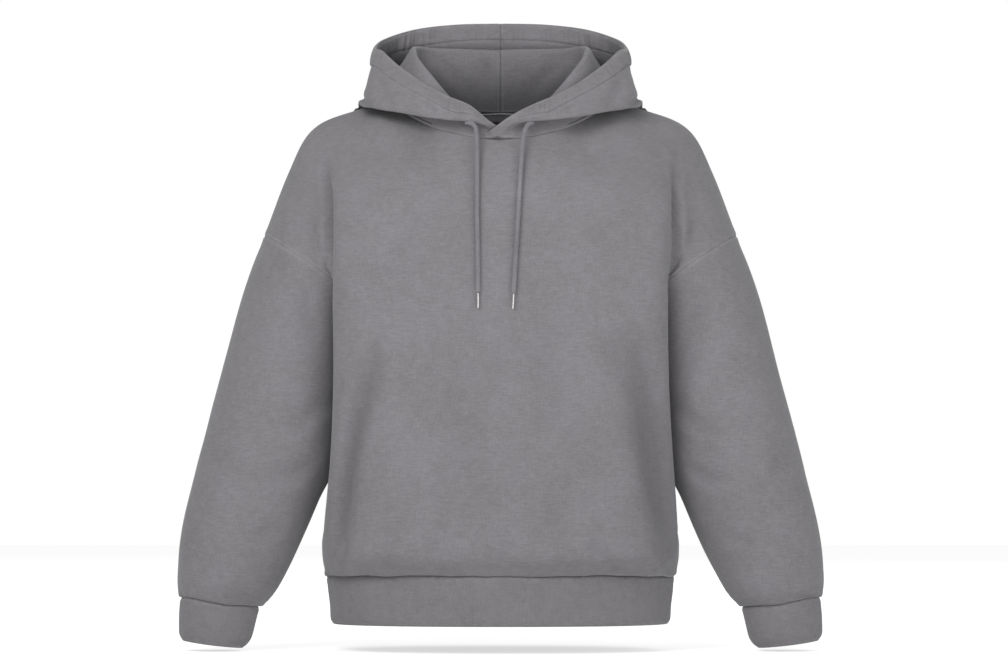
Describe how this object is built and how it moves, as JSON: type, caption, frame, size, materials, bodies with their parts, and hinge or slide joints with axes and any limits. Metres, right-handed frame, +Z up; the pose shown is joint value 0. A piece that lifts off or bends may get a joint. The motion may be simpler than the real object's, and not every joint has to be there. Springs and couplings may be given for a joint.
{
  "type": "pullover hoodie",
  "caption": "Relaxed pullover hoodie with dropped shoulders, folded-down hood, drawcords, ribbed cuffs and ribbed hem, filled out as when worn.",
  "frame": {"origin": "middle of the neck opening at the height of the shoulders; mount wearer is there", "axes": "+Z up the body towards the head, -Y the front, +X the wearer's left"},
  "size_m": [0.774, 0.3067, 0.7509],
  "materials": {
    "fleece": "pigment-dyed brushed cotton fleece",
    "rib": "fine cotton rib, folded double",
    "tape": "twill tape",
    "cord": "round braided cotton",
    "metal": "nickel-plated"
  },
  "bodies": {
    "root": {"front_panel": "fleece", "back_panel": "fleece", "sleeve_left": "fleece", "sleeve_right": "fleece", "hood_left": "fleece", "hood_right": "fleece", "hem_band": "rib", "cuff_left": "rib", "cuff_right": "rib", "neck_tape": "tape", "drawcord_left": "cord", "drawcord_right": "cord", "aglet_left": "metal", "aglet_right": "metal"}
  },
  "joints": []
}
